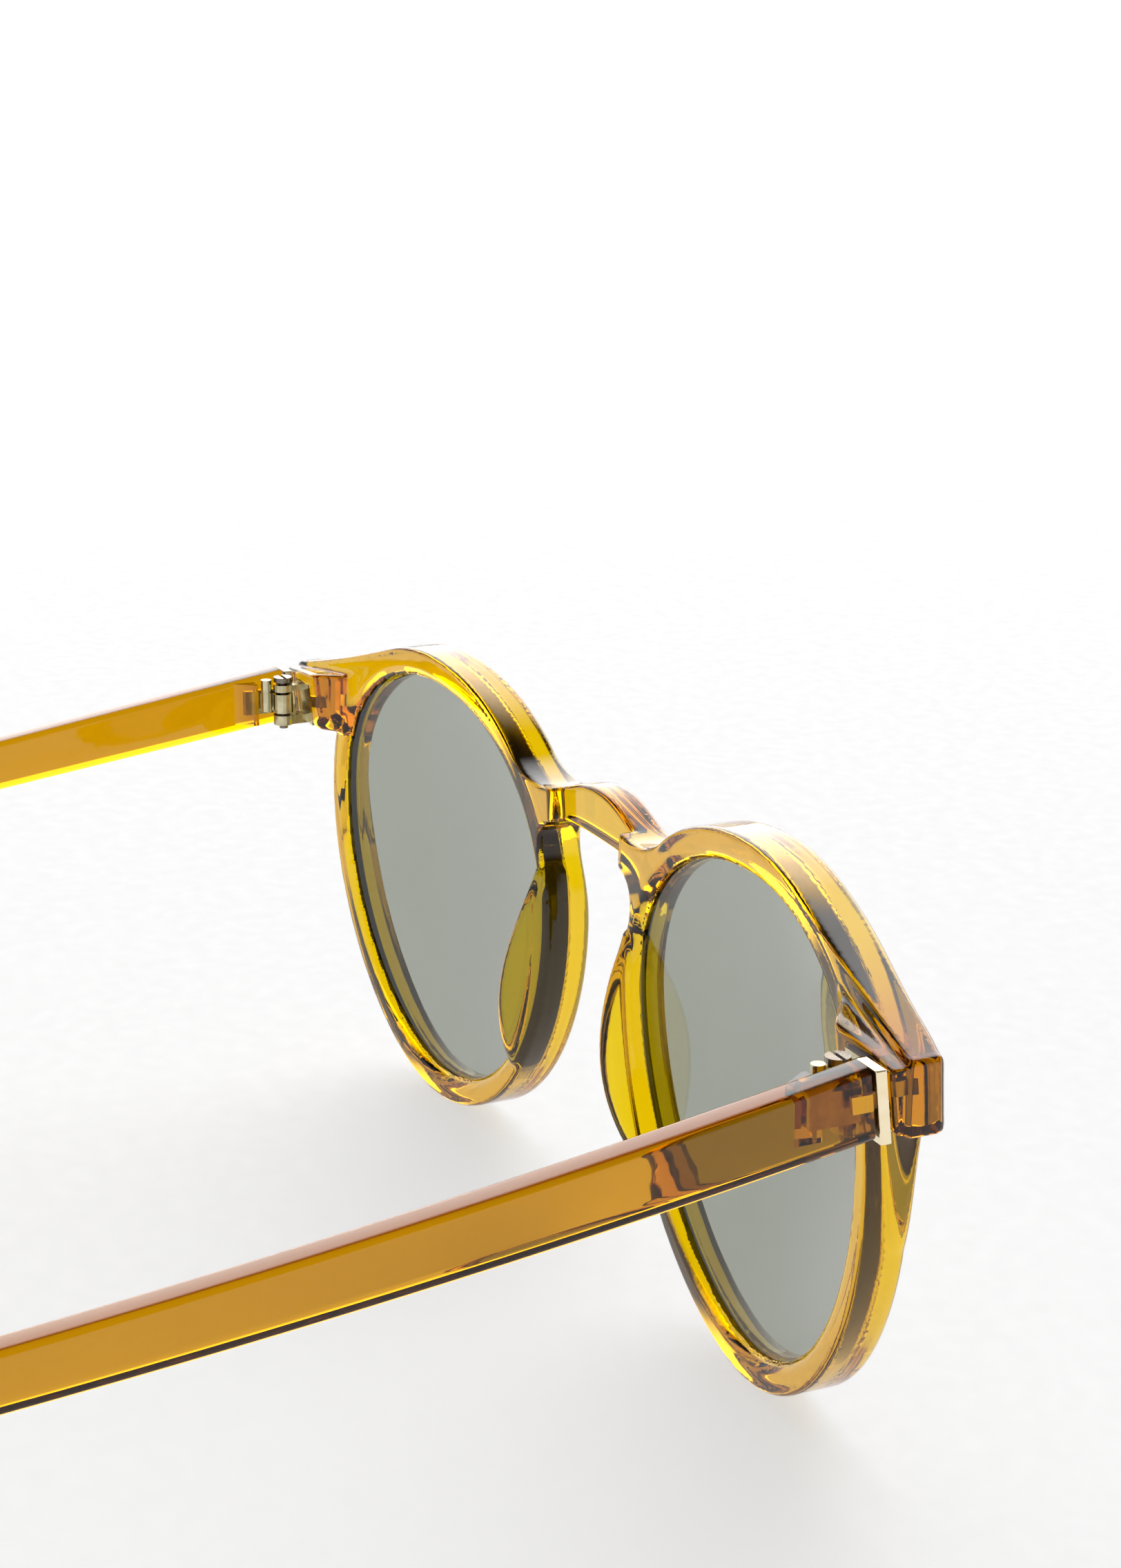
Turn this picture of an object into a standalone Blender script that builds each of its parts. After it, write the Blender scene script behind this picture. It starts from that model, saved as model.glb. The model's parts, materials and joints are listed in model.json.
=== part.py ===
"""Round sunglasses with a keyhole bridge, in metres, +Z up, the wearer facing -Y.

The glasses stand on the bottoms of their rims and the tips of their temples. Every shape is laid
out in a design frame: X runs across the face from the middle of the bridge, Y runs backwards from
the foremost plane of the front, and Z is measured from the middle of the lenses. An empty places
that frame so that the origin is the bottom centre of the whole object. side is -1 for the
wearer's right and +1 for the wearer's left.
"""

import math

import bmesh
import bpy
from mathutils import Vector

MM = 0.001
GAP = 0.3 * MM  # clearance between pieces that touch
SIDES = {"right": -1, "left": 1}

# Lens opening, measured to the inner edge of the rim's back face
LENS_CENTRE_X = 35.8 * MM
TEMPORAL_HALF = 24.2 * MM
NASAL_HALF = 25.5 * MM
UPPER_HALF = 19.8 * MM
LOWER_HALF = 26.4 * MM
UPPER_POWER = 2.13
LOWER_POWER = 1.93
LENS_TILT = math.radians(4.8)
TOP_WIDENING = 1.35  # extra width per metre of height, which makes the shape a panto round
OUTLINE_POINTS = 72

# Front
FRONT_THICKNESS = 5.0 * MM
FRONT_CURVE = 0.934  # backward curve in metres per square metre of distance from the middle
END_SWEEP = 1.4 * MM  # how much further back the front face lies at the end pieces
END_SWEEP_SPAN = (46 * MM, 68 * MM)
LENS_SWEEP_SHARE = 0.3  # the share of that sweep which the lenses follow
EDGE_ROUND = 0.5 * MM
TOP_JOIN, TOP_TANGENT = 128, 50  # angles round the lens between which the brow follows the rim
LOWER_START, LOWER_END = -18, -184  # and those of the rim below the end piece, round to the nose
RIM_TEMPORAL = 2.0 * MM
RIM_BOTTOM = 1.9 * MM
RIM_NASAL = 1.75 * MM
LIP = 0.9 * MM  # how far the rim's lip reaches in over the lens
LENS_EDGE_IN_GROOVE = 0.6 * MM
LENS_THICKNESS = 2.0 * MM
LENS_FRONT_Y = 1.9 * MM

# Bridge
BRIDGE_TOP = 16.4 * MM
BRIDGE_VALLEY = (10.5 * MM, 14.3 * MM)
KEYHOLE_TOP = 11.4 * MM
KEYHOLE_HALF = 10.6 * MM
KEYHOLE_SHOULDER = 8.0 * MM
SADDLE_HALF = 7.4 * MM
SADDLE_DEPTH = 1.5 * MM
SADDLE_SPAN = (6 * MM, 20 * MM)  # heights of the cut, which reaches past the bridge
SADDLE_DRAFT = 1.0 * MM

# End pieces
END_X = 69.9 * MM
END_TOP = 14.0 * MM
END_BOTTOM = 8.0 * MM
END_REAR_Y = 10.9 * MM
END_BLOCK_INNER = 60.2 * MM
END_BLOCK_FRONT_Y = 7.2 * MM
END_BLOCK_RISE = 1.9 * MM  # from the end piece's top corner to the block's inner corner
END_STEP_X = 66.0 * MM  # where the rim meets the underside of the end piece
CORNER = 0.8 * MM

# Hinges
HINGE_LEAN = math.tan(math.radians(6))  # the end pieces' rear faces and the plates lean back
AXIS_X = 65.2 * MM
AXIS_Y = 13.2 * MM
BARREL_RADIUS = 1.15 * MM
BORE_RADIUS = 0.8 * MM
BORE_SPAN = (6 * MM, 15 * MM)
SHANK_RADIUS = 0.5 * MM
HEAD_RADIUS = 1.05 * MM
FRONT_BARRELS = ((8.2 * MM, 9.3 * MM), (12.1 * MM, 12.9 * MM))
TEMPLE_BARREL = (9.6 * MM, 11.8 * MM)
HEAD_SPAN = (13.2 * MM, 13.75 * MM)
SHANK_END = 7.7 * MM
HEAD_SLOT = (0.17 * MM, 0.28 * MM)  # half width and depth
LEAF_THICKNESS = 0.8 * MM

FRONT_LEAF = (62.6 * MM, 66.6 * MM, 8.3 * MM, 13.2 * MM)  # x and z spans of its plate
LEAF_POCKET = (62.3 * MM, 66.9 * MM, 7.0 * MM, 13.6 * MM)
ANCHOR = (64.0 * MM, 65.3 * MM, 10.3 * MM, 11.6 * MM)
ANCHOR_FRONT_Y = 7.2 * MM
WEB_HALF = 0.9 * MM
WEB_INSET = 0.05 * MM
TONGUE_LOW = (66.35 * MM, 12.8 * MM, 9.3 * MM)
TONGUE_HIGH = (67.15 * MM, 17.3 * MM, 12.1 * MM)
LUG = (65.5 * MM, 15.1 * MM)  # middle of the stop lug
LUG_SPAN = (9.8 * MM, 13.5 * MM)
LUG_RADIUS = 0.6 * MM

# Trim plates
PLATE_THICKNESS = 1.0 * MM
PLATE_SPAN = (7.75 * MM, 13.95 * MM)
PLATE_PROUD = 0.15 * MM
PEG_LOW = (68.05 * MM, 10.4 * MM)  # x and z
PEG_HIGH = (68.75 * MM, 11.8 * MM)
PEG_REAR_Y = 14.1 * MM
PLATE_FRONT_Y = 11.2 * MM

# Temples
TEMPLE_FRONT_Y = 12.5 * MM
TEMPLE_Z = 11.1 * MM
TEMPLE_OUTER_X = 69.6 * MM
TEMPLE_THICKNESS = 2.9 * MM
TEMPLE_SPLAY = 0.045  # outward run per unit of length at the hinge
TEMPLE_BOW = 0.83  # inward bow per metre of length, squared
TEMPLE_DROP = 0.150
TEMPLE_RISE = 0.144
TEMPLE_HEIGHT = 6.1 * MM
NECK_HEIGHT = 4.5 * MM
TIP_HEIGHT = 6.4 * MM
BEND_START = 92 * MM
BEND_RADIUS = 55 * MM
EAR_PITCH = math.radians(42)
TEMPLE_ROUND = 0.7 * MM
BOSS_SPAN = (8.2 * MM, 13.0 * MM)
BOSS_INNER_X, BOSS_OUTER_X = 65.4 * MM, 67.3 * MM
BOSS_FRONT_Y, BOSS_CREST_Y, BOSS_REAR_Y = 16.1 * MM, 16.5 * MM, 19.0 * MM

# Nose pads
PAD_TOP_ANGLE = 162
PAD_BOTTOM_ANGLE = 216
PAD_DEPTH = 3.5 * MM
PAD_FLARE = (2.4 * MM, 0.4 * MM)  # how far its crest leans away from the nose, top and bottom
PAD_THICKNESS = 1.5 * MM
PAD_INSET = 0.1 * MM  # from the rim's outer edge
PAD_END_REACH = 0.1


def clear_scene():
    for obj in list(bpy.data.objects):
        bpy.data.objects.remove(obj, do_unlink=True)


def make_collection(name):
    collection = bpy.data.collections.new(name)
    bpy.context.scene.collection.children.link(collection)
    return collection


def make_material(name, colour, roughness, metallic=0.0):
    material = bpy.data.materials.new(name)
    material.use_nodes = True
    shader = material.node_tree.nodes["Principled BSDF"]
    shader.inputs["Base Color"].default_value = (*colour, 1)
    shader.inputs["Roughness"].default_value = roughness
    shader.inputs["Metallic"].default_value = metallic
    material.diffuse_color = (*colour, 1)
    return material


# ---------------------------------------------------------------- outlines


def signed_power(value, power):
    return math.copysign(abs(value) ** power, value)


def opening_point(angle, offset=0.0):
    """A point (x, z) of the left lens opening, moved outwards by offset or by a function of the normal."""

    def raw(turn):
        cosine, sine = math.cos(turn), math.sin(turn)
        power = 2 / (UPPER_POWER if sine > 0 else LOWER_POWER)
        x = (TEMPORAL_HALF if cosine > 0 else NASAL_HALF) * signed_power(cosine, power)
        z = (UPPER_HALF if sine > 0 else LOWER_HALF) * signed_power(sine, power)
        return Vector((x * (1 + TOP_WIDENING * z), z))

    turn = math.radians(angle) + 1e-4
    point = raw(turn)
    along = (raw(turn + 0.01) - raw(turn - 0.01)).normalized()
    normal = Vector((along.y, -along.x))
    point += normal * (offset(normal) if callable(offset) else offset)
    cosine, sine = math.cos(LENS_TILT), math.sin(LENS_TILT)
    return LENS_CENTRE_X + point.x * cosine - point.y * sine, point.x * sine + point.y * cosine


def rim_width(normal):
    """The rim's width, which is thinner at the bottom and at the nose."""
    low = max(-normal.y, 0) ** 2
    nasal = max(-normal.x, 0) ** 2
    return RIM_TEMPORAL + (RIM_BOTTOM - RIM_TEMPORAL) * low + (RIM_NASAL - RIM_TEMPORAL) * nasal


def opening_outline(side, offset):
    points = [opening_point(360 * i / OUTLINE_POINTS, offset) for i in range(OUTLINE_POINTS)]
    return [(side * x, z) for x, z in points]


def bezier(start, start_handle, end_handle, end, count):
    """Points of a cubic curve, without its start."""
    points = []
    for i in range(1, count + 1):
        t = i / count
        weights = ((1 - t) ** 3, 3 * t * (1 - t) ** 2, 3 * t * t * (1 - t), t**3)
        corners = (start, start_handle, end_handle, end)
        points.append(tuple(sum(w * c[k] for w, c in zip(weights, corners)) for k in (0, 1)))
    return points


def front_outline():
    """The outer outline of the whole front: the left half, then its mirror image."""
    rim = [opening_point(a, rim_width) for a in range(TOP_JOIN, TOP_TANGENT - 1, -4)]
    brow = [rim[-1], (END_X - CORNER, END_TOP + 0.1 * CORNER)]
    under = [opening_point(a, rim_width) for a in range(LOWER_START, LOWER_END - 1, -5)]
    valley_x, valley_z = BRIDGE_VALLEY
    half = [(0, BRIDGE_TOP)]
    half += bezier(half[0], (5 * MM, BRIDGE_TOP), (7 * MM, valley_z), BRIDGE_VALLEY, 6)
    half += bezier(BRIDGE_VALLEY, (13 * MM, valley_z), (15.5 * MM, rim[0][1] - MM), rim[0], 4)
    half += rim[1:]
    for i in range(1, 6):
        half.append(tuple(a + (b - a) * i / 5 for a, b in zip(*brow)))
    half.append((END_X, END_TOP - CORNER))
    half += [(END_X, END_BOTTOM + CORNER), (END_X - CORNER, END_BOTTOM)]
    half += [(END_STEP_X + CORNER, END_BOTTOM), (END_STEP_X, END_BOTTOM - CORNER)]
    half += bezier(half[-1], (65 * MM, 4 * MM), (63.2 * MM, -2 * MM), under[0], 5)
    half += under[1:]
    shoulder = (KEYHOLE_HALF, KEYHOLE_SHOULDER)
    half += bezier(half[-1], (8.4 * MM, 4 * MM), (KEYHOLE_HALF, 5.5 * MM), shoulder, 4)
    half += bezier(shoulder, (KEYHOLE_HALF, KEYHOLE_TOP), (7 * MM, KEYHOLE_TOP), (0, KEYHOLE_TOP), 7)
    mirrored = [(-x, z) for x, z in reversed(half[1:-1])]
    return half + mirrored


# ---------------------------------------------------------------- mesh helpers


class Build:
    """Holds the collections, the placing empty and the materials while the parts are made."""

    def __init__(self):
        self.parts = make_collection("round_sunglasses")
        self.cutters = make_collection("cutters")
        self.place = self.add_empty("glasses_frame_of_reference", (0, 0, 0), None)
        self.amber = make_material("amber_plastic", (0.80, 0.52, 0.03), 0.12)
        self.lens = make_material("grey_green_lens", (0.34, 0.37, 0.33), 0.05)
        self.gold = make_material("gold_trim", (0.86, 0.70, 0.47), 0.18, 1.0)
        self.brass = make_material("dark_brass", (0.42, 0.33, 0.20), 0.25, 1.0)

    def add_empty(self, name, location, parent):
        empty = bpy.data.objects.new(name, None)
        empty.empty_display_size = 5 * MM
        empty.location = location
        empty.parent = parent
        self.parts.objects.link(empty)
        return empty

    def add(self, name, mesh, material, pivot=None):
        """Adds a sub-part, whose mesh is in the design frame, under its pivot."""
        obj = bpy.data.objects.new(name, mesh)
        mesh.materials.append(material)
        obj.parent = pivot or self.place
        if pivot:
            obj.location = -pivot.location
        mesh.shade_smooth()
        mesh.set_sharp_from_angle(angle=math.radians(35))
        self.parts.objects.link(obj)
        return obj

    def helper(self, name, mesh):
        obj = bpy.data.objects.new(name, mesh)
        obj.parent = self.place
        obj.hide_render = True
        obj.display_type = "WIRE"
        self.cutters.objects.link(obj)
        return obj

    def combine(self, obj, operation, *others):
        for other in others:
            modifier = obj.modifiers.new(other.name, "BOOLEAN")
            modifier.operation = operation
            modifier.solver = "EXACT"
            modifier.object = other


def finish_mesh(bm, name):
    bmesh.ops.remove_doubles(bm, verts=bm.verts, dist=1e-6)
    bmesh.ops.recalc_face_normals(bm, faces=bm.faces)
    mesh = bpy.data.meshes.new(name)
    bm.to_mesh(mesh)
    bm.free()
    return mesh


def smooth_step(low, high, value):
    t = min(max((value - low) / (high - low), 0), 1)
    return t * t * (3 - 2 * t)


def bend(x, sweep_share):
    """How far back the front lies at x, with a share of the extra sweep of its ends."""
    return FRONT_CURVE * x * x + sweep_share * END_SWEEP * smooth_step(*END_SWEEP_SPAN, abs(x))


def extruded(name, outlines, y_front, y_rear, edge=0.0, sweep_shares=None):
    """A flat outline with holes, extruded along Y, with its edges chamfered by edge.

    sweep_shares bends it with the front, and gives the shares of the end sweep that its front
    and rear faces follow.
    """
    curve = bpy.data.curves.new(name, "CURVE")
    curve.dimensions = "2D"
    curve.fill_mode = "BOTH"
    curve.extrude = (y_rear - y_front) / 2 - edge
    curve.bevel_depth = edge
    curve.bevel_resolution = 0
    curve.offset = -edge
    for outline in outlines:
        spline = curve.splines.new("POLY")
        spline.points.add(len(outline) - 1)
        spline.use_cyclic_u = True
        for point, (x, z) in zip(spline.points, outline):
            point.co = (x, z, 0, 1)
    guide = bpy.data.objects.new(name, curve)
    bpy.context.scene.collection.objects.link(guide)
    graph = bpy.context.evaluated_depsgraph_get()
    bm = bmesh.new()
    flat = bpy.data.meshes.new_from_object(guide.evaluated_get(graph))
    bm.from_mesh(flat)
    bpy.data.meshes.remove(flat)
    bpy.data.objects.remove(guide, do_unlink=True)
    for vertex in bm.verts:
        x, z, depth = vertex.co
        y = (y_front + y_rear) / 2 - depth
        if sweep_shares:
            part = (y - y_front) / (y_rear - y_front)
            y += bend(x, sweep_shares[0] + (sweep_shares[1] - sweep_shares[0]) * part)
        vertex.co = (x, y, z)
    return finish_mesh(bm, name)


def box(name, low, high, edge=0.0):
    bm = bmesh.new()
    made = bmesh.ops.create_cube(bm, size=1)
    for vertex in made["verts"]:
        vertex.co = [l + (c + 0.5) * (h - l) for c, l, h in zip(vertex.co, low, high)]
    if edge:
        bmesh.ops.bevel(bm, geom=bm.edges, offset=edge, segments=2, profile=0.5, affect="EDGES")
    return finish_mesh(bm, name)


def side_box(name, side, low, high, edge=0.0):
    """A box given for the left side, mirrored for the right."""
    xs = sorted((side * low[0], side * high[0]))
    return box(name, (xs[0], *low[1:]), (xs[1], *high[1:]), edge)


def lean(mesh):
    """Leans a mesh back with the rear faces of the end pieces."""
    for vertex in mesh.vertices:
        vertex.co.y += (vertex.co.z - TEMPLE_Z) * HINGE_LEAN
    return mesh


def cylinder(name, x, y, z_low, z_high, radius, segments=20):
    bm = bmesh.new()
    bmesh.ops.create_cone(
        bm, cap_ends=True, segments=segments, radius1=radius, radius2=radius, depth=z_high - z_low
    )
    bmesh.ops.translate(bm, verts=bm.verts, vec=(x, y, (z_low + z_high) / 2))
    return finish_mesh(bm, name)


def loft(name, sections):
    """A closed solid through rings of equal length, with a flat cap at each end."""
    bm = bmesh.new()
    rings = [[bm.verts.new(point) for point in section] for section in sections]
    count = len(rings[0])
    for ring, following in zip(rings, rings[1:]):
        for i in range(count):
            j = (i + 1) % count
            bm.faces.new((ring[i], ring[j], following[j], following[i]))
    bm.faces.new(rings[0])
    bm.faces.new(rings[-1])
    return finish_mesh(bm, name)


# ---------------------------------------------------------------- front


def make_front(build):
    lip = -LIP
    outlines = [front_outline()] + [opening_outline(side, lip) for side in SIDES.values()]
    mesh = extruded("front_frame", outlines, 0, FRONT_THICKNESS, EDGE_ROUND, (1, 0))
    front = build.add("front_frame", mesh, build.amber)
    groove = lip + LENS_EDGE_IN_GROOVE + GAP
    block_bottom, block_outer = END_BOTTOM + 0.4 * MM, END_X - GAP
    for label, side in SIDES.items():
        block_outline = [
            (side * END_BLOCK_INNER, block_bottom),
            (side * block_outer, block_bottom),
            (side * block_outer, END_TOP - GAP),
            (side * END_BLOCK_INNER, END_TOP + END_BLOCK_RISE),
        ]
        name = f"{label}_end_block"
        block = extruded(name, [block_outline], END_BLOCK_FRONT_Y, END_REAR_Y, EDGE_ROUND)
        build.combine(front, "UNION", build.helper(name, lean(block)))
        rear = LENS_FRONT_Y + LENS_THICKNESS + GAP
        outline = [opening_outline(side, groove)]
        shares = (LENS_SWEEP_SHARE, LENS_SWEEP_SHARE)
        cut = extruded(f"{label}_groove", outline, LENS_FRONT_Y - GAP, rear, 0, shares)
        x_low, x_high, z_low, z_high = LEAF_POCKET
        low = (x_low, END_REAR_Y - LEAF_THICKNESS - GAP, z_low)
        pocket = side_box(f"{label}_leaf_pocket", side, low, (x_high, END_REAR_Y + MM, z_high))
        x_low, x_high, z_low, z_high = ANCHOR
        low = (x_low - GAP, ANCHOR_FRONT_Y - GAP, z_low - GAP)
        high = (x_high + GAP, END_REAR_Y, z_high + GAP)
        anchor = side_box(f"{label}_anchor_hole", side, low, high)
        cutters = (cut, lean(pocket), lean(anchor))
        build.combine(front, "DIFFERENCE", *(build.helper(m.name, m) for m in cutters))
    low, high = SADDLE_SPAN
    saddle_outline = [
        (-SADDLE_HALF, low),
        (SADDLE_HALF, low),
        (SADDLE_HALF + SADDLE_DRAFT, high),
        (-SADDLE_HALF - SADDLE_DRAFT, high),
    ]
    saddle_front = FRONT_THICKNESS - SADDLE_DEPTH
    saddle = extruded("bridge_saddle", [saddle_outline], saddle_front, 2 * FRONT_THICKNESS)
    build.combine(front, "DIFFERENCE", build.helper("bridge_saddle", saddle))


def make_lenses(build):
    for label, side in SIDES.items():
        name = f"{label}_lens"
        outline = [opening_outline(side, LENS_EDGE_IN_GROOVE - LIP)]
        rear = LENS_FRONT_Y + LENS_THICKNESS
        shares = (LENS_SWEEP_SHARE, LENS_SWEEP_SHARE)
        mesh = extruded(name, outline, LENS_FRONT_Y, rear, 0.2 * MM, shares)
        build.add(name, mesh, build.lens)


def make_nose_pads(build):
    """A leaf-shaped fin on the back of each rim beside the nose, leaning away from the nose."""
    steps = 14
    for label, side in SIDES.items():
        sections = []
        for i in range(steps + 1):
            part = i / steps
            angle = PAD_TOP_ANGLE + (PAD_BOTTOM_ANGLE - PAD_TOP_ANGLE) * part
            reach = PAD_END_REACH + (1 - PAD_END_REACH) * max(math.sin(math.pi * part), 0) ** 0.85
            flare = (PAD_FLARE[0] + (PAD_FLARE[1] - PAD_FLARE[0]) * part) * reach
            x_in, z_in = opening_point(angle, RIM_NASAL - PAD_INSET)
            x_out, z_out = opening_point(angle, RIM_NASAL - PAD_INSET - PAD_THICKNESS)
            lean_x = (x_out - x_in) / PAD_THICKNESS * flare
            lean_z = (z_out - z_in) / PAD_THICKNESS * flare
            root = FRONT_THICKNESS + GAP + FRONT_CURVE * x_in**2
            crest = root + PAD_DEPTH * reach
            ring = [
                (x_in, root, z_in),
                (x_in + 0.6 * lean_x, root + 0.62 * (crest - root), z_in + 0.6 * lean_z),
                ((x_in + x_out) / 2 + lean_x, crest, (z_in + z_out) / 2 + lean_z),
                (x_out + lean_x, crest - 0.35 * (crest - root), z_out + lean_z),
                (x_out + 0.3 * lean_x, root + 0.2 * (crest - root), z_out + 0.3 * lean_z),
                (x_out, root, z_out),
            ]
            sections.append([(side * x, y, z) for x, y, z in ring])
        name = f"{label}_nose_pad"
        build.add(name, loft(name, sections), build.amber)


# ---------------------------------------------------------------- temples


def temple_path():
    """Stations (y, z, pitch, height) of the temple's middle line, from the hinge to the ear tip."""
    stations = []
    for i in range(17):
        run = (BEND_START - (TEMPLE_FRONT_Y - AXIS_Y)) * i / 16
        z = TEMPLE_Z - TEMPLE_DROP * run + TEMPLE_RISE * run * run
        at_the_plate = i == 0
        pitch = math.atan(HINGE_LEAN if at_the_plate else TEMPLE_DROP - 2 * TEMPLE_RISE * run)
        height = TEMPLE_HEIGHT + (NECK_HEIGHT - TEMPLE_HEIGHT) * i / 16
        stations.append((TEMPLE_FRONT_Y + run, z, pitch, height))
    y, z, start_pitch, _ = stations[-1]
    for i in range(1, 9):
        pitch = start_pitch + (EAR_PITCH - start_pitch) * i / 8
        stations.append((
            y + BEND_RADIUS * (math.sin(pitch) - math.sin(start_pitch)),
            z - BEND_RADIUS * (math.cos(start_pitch) - math.cos(pitch)),
            pitch,
            NECK_HEIGHT + (TIP_HEIGHT - NECK_HEIGHT) * i / 8,
        ))
    y, z, pitch, height = stations[-1]
    floor = min(point[1] for point in front_outline())
    length = (z - (floor + TIP_HEIGHT / 2)) / math.sin(EAR_PITCH)
    ahead, down = math.cos(EAR_PITCH), math.sin(EAR_PITCH)
    stations.append((y + length * ahead, z - length * down, pitch, height))
    for turn in (30, 55, 75):
        reach = length + TIP_HEIGHT / 2 * math.sin(math.radians(turn))
        narrow = TIP_HEIGHT * math.cos(math.radians(turn))
        stations.append((y + reach * ahead, z - reach * down, pitch, narrow))
    return stations


def temple_section(side, station):
    y, z, pitch, height = station
    run = y - TEMPLE_FRONT_Y
    outer = TEMPLE_OUTER_X + TEMPLE_SPLAY * run - TEMPLE_BOW * run * run
    half_x, half_z = TEMPLE_THICKNESS / 2, height / 2
    corner = min(TEMPLE_ROUND, 0.8 * half_z)
    up = Vector((0, math.sin(pitch), math.cos(pitch)))
    ring = []
    for quarter in range(4):
        sign_x = (1, -1, -1, 1)[quarter]
        sign_z = (1, 1, -1, -1)[quarter]
        for turn in (0, 45, 90):
            angle = math.radians(90 * quarter + turn)
            across = sign_x * (half_x - corner) + corner * math.cos(angle)
            upward = sign_z * (half_z - corner) + corner * math.sin(angle)
            point = Vector((side * (outer - half_x + across), y, z)) + up * upward
            ring.append(point)
    return ring


def make_temples(build, pivots):
    stations = temple_path()
    for label, side in SIDES.items():
        name = f"{label}_temple"
        mesh = loft(name, [temple_section(side, station) for station in stations])
        temple = build.add(name, mesh, build.amber, pivots[label])
        boss_points = [
            (BOSS_OUTER_X, BOSS_REAR_Y),
            (BOSS_INNER_X, BOSS_CREST_Y),
            (BOSS_INNER_X, BOSS_FRONT_Y),
            (BOSS_OUTER_X, BOSS_FRONT_Y),
        ]
        sections = [[(side * x, y, z) for x, y in boss_points] for z in BOSS_SPAN]
        boss = build.helper(f"{label}_boss", loft(f"{label}_boss", sections))
        build.combine(temple, "UNION", boss)
        room = 1.2 * GAP
        low = (TONGUE_LOW[0] - room, PLATE_FRONT_Y, TONGUE_LOW[2] - room)
        slot = side_box(f"{label}_leaf_slot", side, low, [edge + room for edge in TONGUE_HIGH])
        low = (PEG_LOW[0] - room, PLATE_FRONT_Y, PEG_LOW[1] - room)
        high = (PEG_HIGH[0] + room, PEG_REAR_Y + room, PEG_HIGH[1] + room)
        peg_hole = side_box(f"{label}_peg_hole", side, low, high)
        cutters = (slot, lean(peg_hole))
        build.combine(temple, "DIFFERENCE", *(build.helper(m.name, m) for m in cutters))


def make_trim_plates(build, pivots):
    """A thin metal plate over each temple's front end, held by a peg."""
    inner, outer = TEMPLE_OUTER_X - TEMPLE_THICKNESS, TEMPLE_OUTER_X + PLATE_PROUD
    rear = PLATE_FRONT_Y + PLATE_THICKNESS
    for label, side in SIDES.items():
        name = f"{label}_trim_plate"
        low = (inner, PLATE_FRONT_Y, PLATE_SPAN[0])
        high = (outer, rear, PLATE_SPAN[1])
        mesh = lean(side_box(name, side, low, high, 0.12 * MM))
        plate = build.add(name, mesh, build.gold, pivots[label])
        peg_name = f"{label}_trim_peg"
        low = (PEG_LOW[0], rear - 0.4 * MM, PEG_LOW[1])
        high = (PEG_HIGH[0], PEG_REAR_Y, PEG_HIGH[1])
        peg = lean(side_box(peg_name, side, low, high))
        build.combine(plate, "UNION", build.helper(peg_name, peg))


# ---------------------------------------------------------------- hinges


def make_front_leaf(build, label, side):
    """The leaf let into the end piece: a plate with an anchor, carrying two barrels."""
    name = f"{label}_front_hinge_leaf"
    x_low, x_high, z_low, z_high = FRONT_LEAF
    low, high = (x_low, END_REAR_Y - LEAF_THICKNESS, z_low), (x_high, END_REAR_Y, z_high)
    leaf = build.add(name, lean(side_box(name, side, low, high)), build.brass)
    x_low, x_high, z_low, z_high = ANCHOR
    low, high = (x_low, ANCHOR_FRONT_Y, z_low), (x_high, END_REAR_Y - GAP, z_high)
    pieces = [lean(side_box(f"{label}_leaf_anchor", side, low, high))]
    for i, (z_low, z_high) in enumerate(FRONT_BARRELS):
        barrel_name = f"{label}_front_barrel_{i}"
        pieces.append(cylinder(barrel_name, side * AXIS_X, AXIS_Y, z_low, z_high, BARREL_RADIUS))
        web_low = (AXIS_X - WEB_HALF, END_REAR_Y - 0.4 * MM, z_low + WEB_INSET)
        web_high = (AXIS_X + WEB_HALF, AXIS_Y - 0.5 * MM, z_high - WEB_INSET)
        pieces.append(side_box(f"{label}_front_web_{i}", side, web_low, web_high))
    build.combine(leaf, "UNION", *(build.helper(m.name, m) for m in pieces))
    return leaf


def make_temple_leaf(build, label, side, pivot):
    """The leaf let into the temple: a tongue, one barrel, and a stop lug behind the barrel."""
    name = f"{label}_temple_hinge_leaf"
    leaf = build.add(name, side_box(name, side, TONGUE_LOW, TONGUE_HIGH), build.brass, pivot)
    z_low, z_high = TEMPLE_BARREL
    web_end = TONGUE_LOW[0] + 0.35 * MM
    web_low = (AXIS_X, AXIS_Y - 0.35 * MM, z_low + WEB_INSET)
    web_high = (web_end, AXIS_Y + MM, z_high - WEB_INSET)
    lug_x, lug_y = LUG
    lug_web_low = (lug_x, lug_y - 0.4 * MM, z_low + 2 * WEB_INSET)
    lug_web_high = (web_end, lug_y + 0.4 * MM, z_high - 2 * WEB_INSET)
    pieces = (
        cylinder(f"{label}_temple_barrel", side * AXIS_X, AXIS_Y, z_low, z_high, BARREL_RADIUS),
        side_box(f"{label}_temple_web", side, web_low, web_high),
        cylinder(f"{label}_stop_lug", side * lug_x, lug_y, *LUG_SPAN, LUG_RADIUS),
        side_box(f"{label}_lug_web", side, lug_web_low, lug_web_high),
    )
    build.combine(leaf, "UNION", *(build.helper(m.name, m) for m in pieces))
    return leaf


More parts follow.
